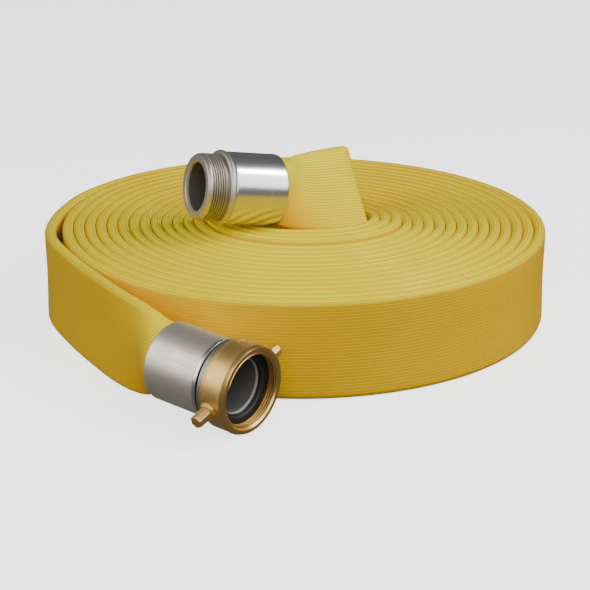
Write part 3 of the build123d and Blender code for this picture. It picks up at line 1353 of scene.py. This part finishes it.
@dataclass
class ThreadedCoupling(Coupling):
    """The inner coupling: a shank with a flange and an outside thread.

    The sizes are named as the outer coupling's are.
    """

    flange_r: float = 33.8
    flange_end: float = 56.5
    root_r: float = 28.9
    crest_r: float = 30.1
    pitch: float = 2.209
    thread_turns: float = 6.6
    thread_start: float = 57.6
    lead_start: float = 74.4
    mouth: float = 76.9
    mouth_r: float = 27.6

    def build(self) -> None:
        """Make every piece of the coupling."""
        polished = BareMetal(
            "polished_aluminium",
            (0.84, 0.84, 0.84),
            (0.66, 0.66, 0.66),
            roughness=0.16,
            lay=Lay.LENGTHWISE,
            marks=0.25,
        )
        matte = BareMetal(
            "matte_aluminium",
            (0.74, 0.69, 0.59),
            (0.42, 0.38, 0.31),
            roughness=0.36,
            marks=0.45,
            grain=0.1,
            bore_r=self.waterway_r + 0.15,
            painted_shade_hollows=(28.7, 29.25, 73.8),
        )
        self.ferrule("male_ferrule", polished.build(self.place))
        half = (self.flange_end - self.ferrule_length) / 2
        inner, middle = self.flange_r - half, self.ferrule_length + half
        leans = [radians(step) for step in range(-75, 76, 15)]
        body = [
            *self.tail(),
            (inner, self.ferrule_length),
            *((inner + half * cos(lean), middle + half * sin(lean)) for lean in leans),
            (inner, self.flange_end),
            (self.root_r, self.flange_end),
            (self.root_r, self.lead_start - 2.2),
            (self.crest_r - 0.3, self.lead_start - 1.6),
            (self.crest_r - 0.3, self.lead_start),
            (self.mouth_r + 0.9, self.mouth - 0.45),
            (self.mouth_r, self.mouth),
            (self.waterway_r + 0.6, self.mouth),
            (self.waterway_r, self.mouth - 0.7),
        ]
        foot_r = self.root_r - 0.1
        ridge = thread_ridge(foot_r, self.crest_r, self.thread_start)
        thread = helix(ridge, self.pitch, self.thread_turns, foot_r)
        self.finished("male_shank", joined(turned(body), thread), matte.build(self.place))


# ---------------------------------------------------------------- the studio


@dataclass(frozen=True)
class Softbox:
    """One square soft light. Lengths are in metres.

    Args:
        name: its name.
        place: where it hangs.
        size: its side.
        power: its power, in watts.
    """

    name: str
    place: Triple
    size: float
    power: float


@dataclass
class Studio:
    """The camera, the pale floor and the soft lights. Lengths are in metres.

    Args:
        target: the point that the camera aims at.
        distance: the camera's distance from it.
        elevation: degrees by which the camera looks down.
        lens: the lens's length, in millimetres.
        sensor: the sensor's width, in millimetres.
        lit: the point that the lights face.
        lights: the soft lights.
        air: how strong the light from all round is.
        floor_half: half of the floor's side.
        floor_tone: the floor's grey.
        floor_glow: the floor's own light, which keeps it evenly pale.
    """

    target: Vector
    distance: float = 1.6616
    elevation: float = 19.06
    lens: float = 108.0
    sensor: float = 36.0
    lit: Triple = (0.0, 0.0, 0.05)
    lights: tuple[Softbox, ...] = (
        Softbox("right_key", (1.25, -0.45, 1.05), 1.3, 14.0),
        Softbox("front_fill", (0.2, -1.6, 1.1), 1.6, 19.0),
        Softbox("left_fill", (-1.4, -0.4, 0.8), 1.2, 12.0),
        Softbox("sparkle", (1.0, -0.05, 1.35), 0.18, 7.0),
    )
    air: float = 0.12
    floor_half: float = 6.0
    floor_tone: float = 0.95
    floor_glow: float = 2.2

    def build(self) -> None:
        """Place everything."""
        self.camera()
        self.floor()
        for light in self.lights:
            self.hang(light)
        world = bpy.data.worlds.new("studio_air")
        bpy.context.scene.world = world
        world.use_nodes = True
        background = world.node_tree.nodes["Background"]
        background.inputs["Color"].default_value = (1.0, 1.0, 1.0, 1.0)
        background.inputs["Strength"].default_value = self.air

    def camera(self) -> None:
        """Put the camera on the roll's front side, looking slightly down."""
        data = bpy.data.cameras.new("camera")
        data.lens = self.lens
        data.sensor_width = self.sensor
        camera = bpy.data.objects.new("camera", data)
        bpy.context.scene.collection.objects.link(camera)
        tilt = radians(self.elevation)
        camera.location = self.target + Vector((0, -cos(tilt), sin(tilt))) * self.distance
        camera.rotation_euler = (pi / 2 - tilt, 0.0, 0.0)
        bpy.context.scene.camera = camera

    def floor(self) -> None:
        """Lay the pale floor."""
        mesh = bmesh.new()
        bmesh.ops.create_grid(mesh, x_segments=1, y_segments=1, size=self.floor_half)
        data = bpy.data.meshes.new("floor")
        mesh.to_mesh(data)
        mesh.free()
        floor = bpy.data.objects.new("floor", data)
        bpy.context.scene.collection.objects.link(floor)
        shader = Shader("pale_floor")
        pale = (self.floor_tone, self.floor_tone, self.floor_tone, 1.0)
        finish = shader.finish(
            Base_Color=pale,
            Roughness=0.8,
            Emission_Color=pale,
            Emission_Strength=self.floor_glow,
        )
        data.materials.append(finish)
        floor.visible_diffuse = False
        floor.visible_glossy = False

    def hang(self, light: Softbox) -> None:
        """Hang one soft light, facing the object.

        Args:
            light: the light.
        """
        data = bpy.data.lights.new(light.name, "AREA")
        data.size = light.size
        data.energy = light.power
        lamp = bpy.data.objects.new(light.name, data)
        bpy.context.scene.collection.objects.link(lamp)
        lamp.location = light.place
        lamp.rotation_euler = (Vector(self.lit) - Vector(light.place)).to_track_quat("-Z", "Y").to_euler()


# ---------------------------------------------------------------- putting it together


def coupling_place(mount: str, along: float, roll: float) -> Matrix:
    """The matrix of a coupling, from the record's mount on its axis.

    Args:
        mount: the mount's name.
        along: the mount's distance from the ferrule's rear.
        roll: degrees by which the coupling's X is turned from level.

    Returns:
        The matrix in metres, with Z out of the mouth.
    """
    found = next(m for m in frame["record"]["mounts"] if m["name"] == mount)
    axis = Vector(found["axis"]).normalized()
    level = Vector((axis.y, -axis.x, 0.0)).normalized()
    across = Matrix.Rotation(radians(roll), 3, axis) @ level
    turn = Matrix((across, axis.cross(across), axis)).transposed().to_4x4()
    return Matrix.Translation(Vector(found["pos_m"]) - axis * along * MM) @ turn


def dress_inner_layers(place: Matrix) -> None:
    """Give the CAD nodes that stay their materials.

    Args:
        place: the swivel coupling's matrix.
    """
    jacket = WovenYarn("woven_jacket", (0.82, 0.80, 0.74), (0.35, 0.33, 0.28)).build()
    lining = PlainRubber("end_lining", (0.02, 0.019, 0.018)).build()
    cover = PlainRubber("end_cover", (0.86, 0.62, 0.02), 0.4).build()
    wire = BareMetal("spring_wire", (0.62, 0.62, 0.62), (0.4, 0.4, 0.4), 0.25).build(place)
    finishes = {"lining": lining, "jacket": jacket, "cover": cover}
    chosen = {f"{end}_end_{layer}": f for end in ("female", "male") for layer, f in finishes.items()}
    chosen["retaining_wire"] = wire
    for node, finish in chosen.items():
        frame["nodes"][node].data.materials.clear()
        frame["nodes"][node].data.materials.append(finish)
        log.info("%s: new finish on the CAD node", node)


def main() -> None:
    """Build the hose, its couplings and the studio."""
    logging.basicConfig(level=logging.INFO, format="%(name)s: %(message)s")
    female = coupling_place("inlet_thread", INLET_MOUNT_AT, LUG_ROLL)
    male = coupling_place("outlet_thread", OUTLET_MOUNT_AT, 0.0)
    hose = Hose(female=female, male=male)
    hose.build()
    SwivelCoupling(place=female).build()
    ThreadedCoupling(place=male).build()
    dress_inner_layers(female)
    Studio(target=hose.home() * MM + CAMERA_AIM).build()


if __name__ == "__main__":
    main()
